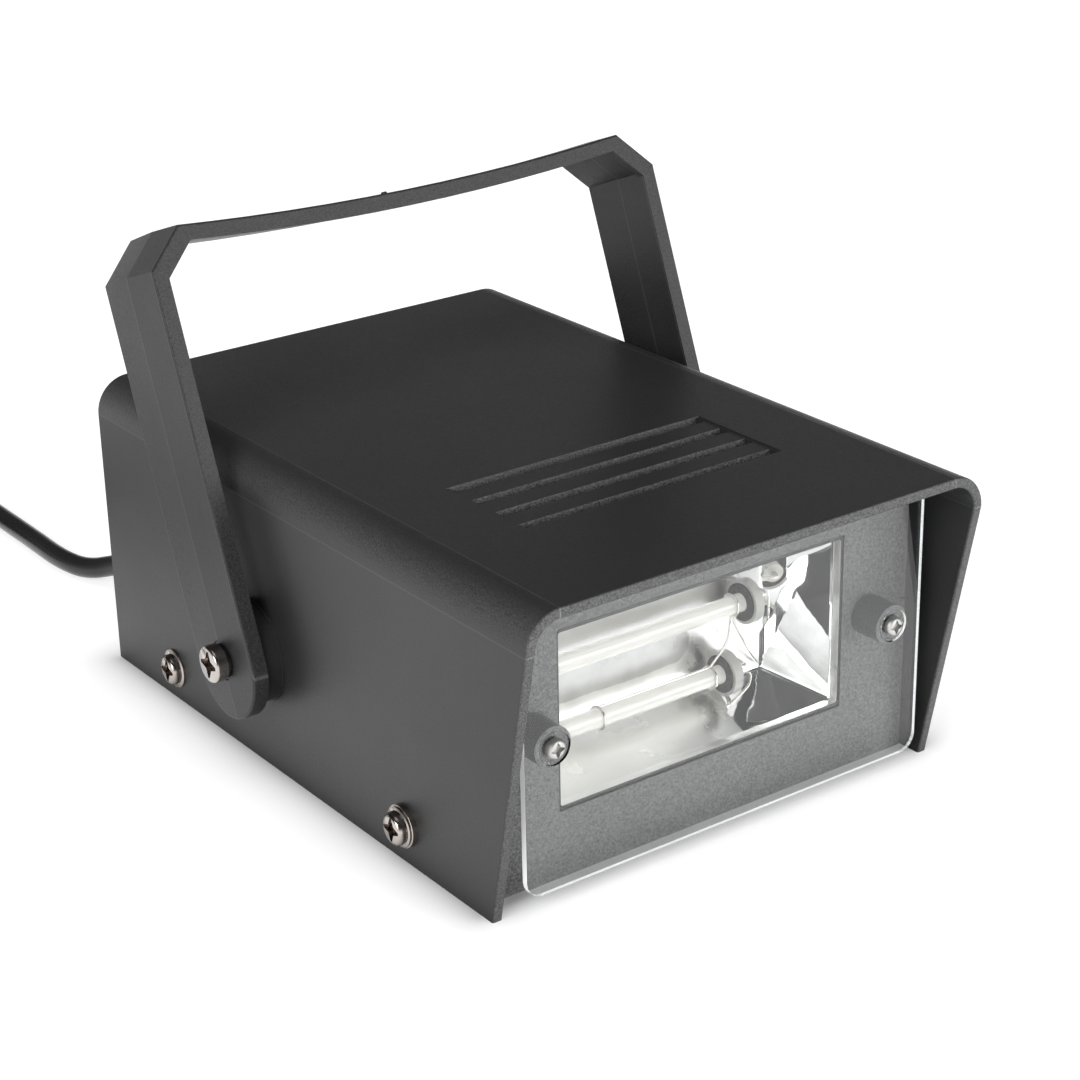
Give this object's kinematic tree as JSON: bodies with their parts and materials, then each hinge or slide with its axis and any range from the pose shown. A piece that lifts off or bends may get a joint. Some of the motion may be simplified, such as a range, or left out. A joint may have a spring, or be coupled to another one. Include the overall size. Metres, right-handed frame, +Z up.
{
  "type": "xenon stroboscope",
  "caption": "Small black plastic xenon strobe light: hooded housing with a clear front plate, mirror trough and flash tube, and a tilting carrying yoke.",
  "frame": {"origin": "middle of the base's underside: on the housing's middle plane, halfway between the hood's front edge and the cover's rear edge", "axes": "+Z up; -Y is the way the window faces; +X is on the right seen from the front, along the yoke's pivot line"},
  "size_m": [0.206, 0.3388, 0.1201],
  "materials": {
    "cover_plastic": "fine spark-eroded grain, satin",
    "tray_plastic": "fine grain, satin",
    "yoke_plastic": "fine grain, satin",
    "clear_plastic": "clear, slightly hazy",
    "nickel": "nickel plated",
    "dark_steel": "blackened",
    "mirror": "vacuum-metallised mirror",
    "tube_glass": "clear, polished",
    "electrode_metal": "drawn wire",
    "grommet_rubber": "matte",
    "white_ceramic": "matte white",
    "board_laminate": "paper laminate",
    "capacitor_sleeve": "shrink sleeve",
    "transformer_tape": "taped winding",
    "component_black": "moulded",
    "fuse_glass": "clear",
    "terminal_green": "moulded",
    "control_metal": "machined",
    "knob_plastic": "satin",
    "cord_rubber": "smooth flexible sheath",
    "tie_plastic": "wire tie",
    "plug_plastic": "satin",
    "wire_insulation": "insulated wire"
  },
  "bodies": {
    "housing": {"top_cover": "cover_plastic", "base_tray": "tray_plastic", "clear_window": "clear_plastic", "window_screws": "nickel", "reflector": "mirror", "reflector_screws": "nickel", "flash_tube": "tube_glass", "tube_electrodes": "electrode_metal", "tube_grommets": "grommet_rubber", "tube_holders": "white_ceramic", "tube_leads": "electrode_metal", "trigger_wire": "electrode_metal", "circuit_board": "board_laminate", "board_screws": "nickel", "capacitors": "capacitor_sleeve", "trigger_transformer": "transformer_tape", "power_resistor": "white_ceramic", "diodes": "component_black", "thyristor": "component_black", "fuse": "fuse_glass", "fuse_clips": "nickel", "terminal_block": "terminal_green", "hookup_wires": "wire_insulation", "potentiometer": "control_metal", "pot_nut": "nickel", "pivot_screws": "nickel", "pivot_spring_washers": "dark_steel", "friction_discs": "yoke_plastic", "pivot_nuts": "dark_steel", "rear_cover_screws": "nickel", "front_cover_screws": "nickel", "front_screw_washers": "nickel", "strain_relief": "cord_rubber", "mains_cord": "cord_rubber", "cord_coil": "cord_rubber", "cord_tie": "tie_plastic", "plug_body": "plug_plastic", "plug_pins": "nickel"},
    "yoke": {"yoke": "yoke_plastic"},
    "knob": {"speed_knob": "knob_plastic", "pot_shaft": "control_metal"}
  },
  "joints": [
    {"name": "yoke_tilt", "type": "hinge", "parent": "housing", "child": "yoke", "pos_m": [0, 0.0166, 0.0276], "axis": [1, 0, 0], "range_deg": [-60, 70]},
    {"name": "speed_knob_turn", "type": "hinge", "parent": "housing", "child": "knob", "pos_m": [0.028, 0.08395, 0.036], "axis": [0, 1, 0], "range_deg": [-140, 140]}
  ]
}
